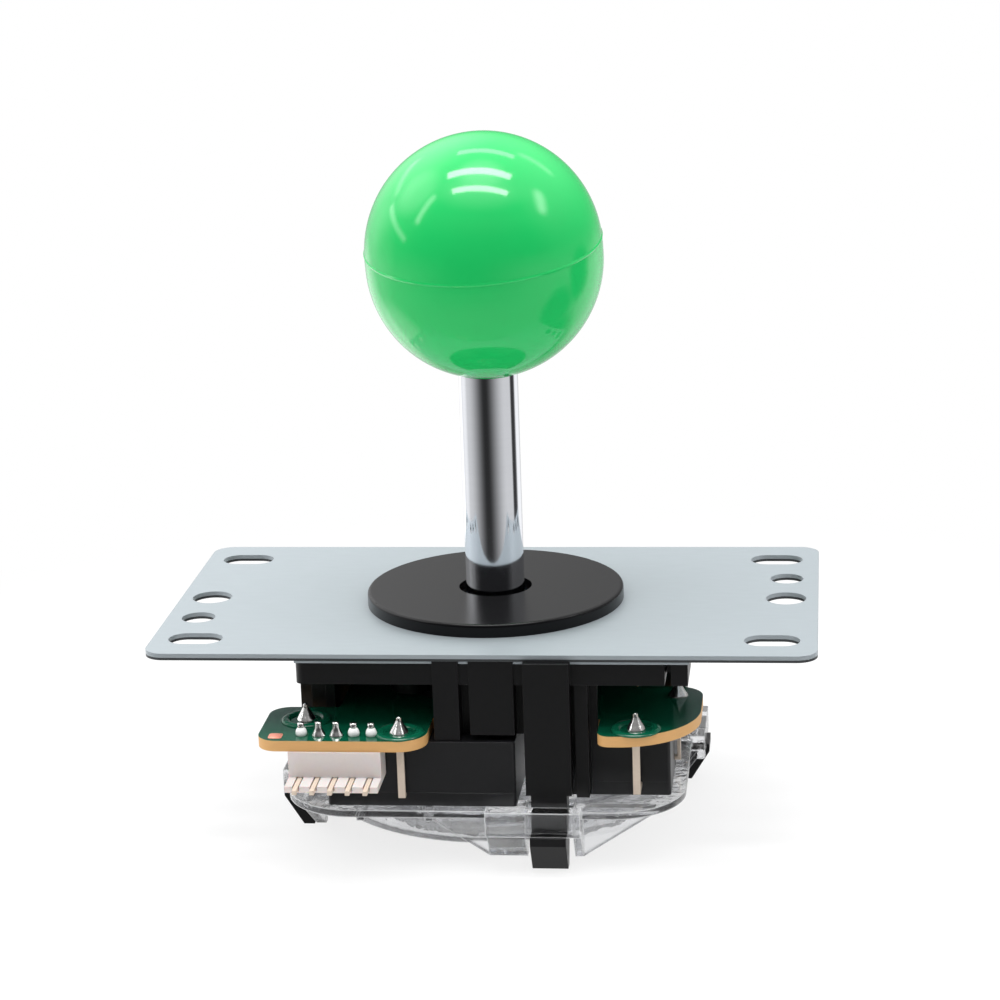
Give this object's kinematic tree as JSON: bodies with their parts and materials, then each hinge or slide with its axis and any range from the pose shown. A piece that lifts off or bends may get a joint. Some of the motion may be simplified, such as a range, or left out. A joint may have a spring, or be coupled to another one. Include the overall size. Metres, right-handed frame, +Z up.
{
  "type": "arcade joystick lever",
  "caption": "Ball-topped control lever on a slotted steel plate, with a sprung ball pivot, microswitches on a circuit board and a clear gate held by snap arms.",
  "frame": {"origin": "centre of the mounting plate's top face, on the lever's axis", "axes": "+Z up along the lever to the ball, +X along the plate's long side, -Y to the side with the connector"},
  "size_m": [0.097, 0.0687, 0.1025],
  "materials": {
    "ball_plastic": "glossy",
    "chromed_steel": "polished",
    "brass_insert": "turned",
    "spring_steel": "satin",
    "washer_plastic": "satin",
    "plated_steel": "satin",
    "housing_plastic": "satin",
    "white_acetal": "satin",
    "board_laminate": "glossy",
    "connector_plastic": "satin",
    "tinned_brass": "bright",
    "switch_plastic": "satin",
    "clear_polycarbonate": "clear",
    "contact_bronze": "rolled"
  },
  "bodies": {
    "base": {"dust_washer": "washer_plastic", "mounting_plate": "plated_steel", "backing_sheet": "plated_steel", "plate_screws": "plated_steel", "housing": "housing_plastic", "circuit_board": "board_laminate", "connector_housing": "connector_plastic", "connector_pins": "tinned_brass", "gate_frame": "clear_polycarbonate", "gate_restrictor": "clear_polycarbonate", "front_switch_case": "switch_plastic", "front_switch_cover": "switch_plastic", "front_switch_side_terminal": "tinned_brass", "front_switch_end_terminal": "tinned_brass", "front_switch_contact_blade": "contact_bronze", "right_switch_case": "switch_plastic", "right_switch_cover": "switch_plastic", "right_switch_side_terminal": "tinned_brass", "right_switch_end_terminal": "tinned_brass", "right_switch_contact_blade": "contact_bronze", "back_switch_case": "switch_plastic", "back_switch_cover": "switch_plastic", "back_switch_side_terminal": "tinned_brass", "back_switch_end_terminal": "tinned_brass", "back_switch_contact_blade": "contact_bronze", "left_switch_case": "switch_plastic", "left_switch_cover": "switch_plastic", "left_switch_side_terminal": "tinned_brass", "left_switch_end_terminal": "tinned_brass", "left_switch_contact_blade": "contact_bronze"},
    "pivot_ring": {"pivot_liner": "white_acetal"},
    "lever_guide": {"pivot_bush": "white_acetal", "spring_collar": "white_acetal", "return_spring": "spring_steel", "actuator": "white_acetal"},
    "lever": {"shaft": "chromed_steel", "ball_top": "ball_plastic", "ball_insert": "brass_insert", "e_clip": "spring_steel"},
    "front_plunger": {"front_switch_plunger": "switch_plastic"},
    "right_plunger": {"right_switch_plunger": "switch_plastic"},
    "back_plunger": {"back_switch_plunger": "switch_plastic"},
    "left_plunger": {"left_switch_plunger": "switch_plastic"}
  },
  "joints": [
    {"name": "tilt_left_right", "type": "hinge", "parent": "base", "child": "pivot_ring", "pos_m": [0, 0, -0.0028], "axis": [0, 1, 0], "range_deg": [-7, 7], "stiffness_Nm_per_rad": 0.6},
    {"name": "tilt_front_back", "type": "hinge", "parent": "pivot_ring", "child": "lever_guide", "pos_m": [0, 0, -0.0028], "axis": [1, 0, 0], "range_deg": [-7, 7], "stiffness_Nm_per_rad": 0.6},
    {"name": "lever_spin", "type": "hinge", "parent": "lever_guide", "child": "lever", "pos_m": [0, 0, -0.0028], "axis": [0, 0, 1], "continuous": true},
    {"name": "front_plunger_travel", "type": "slide", "parent": "base", "child": "front_plunger", "axis": [0, -1, 0], "range_m": [0, 0.0008], "stiffness_N_per_m": 300},
    {"name": "right_plunger_travel", "type": "slide", "parent": "base", "child": "right_plunger", "axis": [1, 0, 0], "range_m": [0, 0.0008], "stiffness_N_per_m": 300},
    {"name": "back_plunger_travel", "type": "slide", "parent": "base", "child": "back_plunger", "axis": [0, 1, 0], "range_m": [0, 0.0008], "stiffness_N_per_m": 300},
    {"name": "left_plunger_travel", "type": "slide", "parent": "base", "child": "left_plunger", "axis": [-1, 0, 0], "range_m": [0, 0.0008], "stiffness_N_per_m": 300}
  ]
}
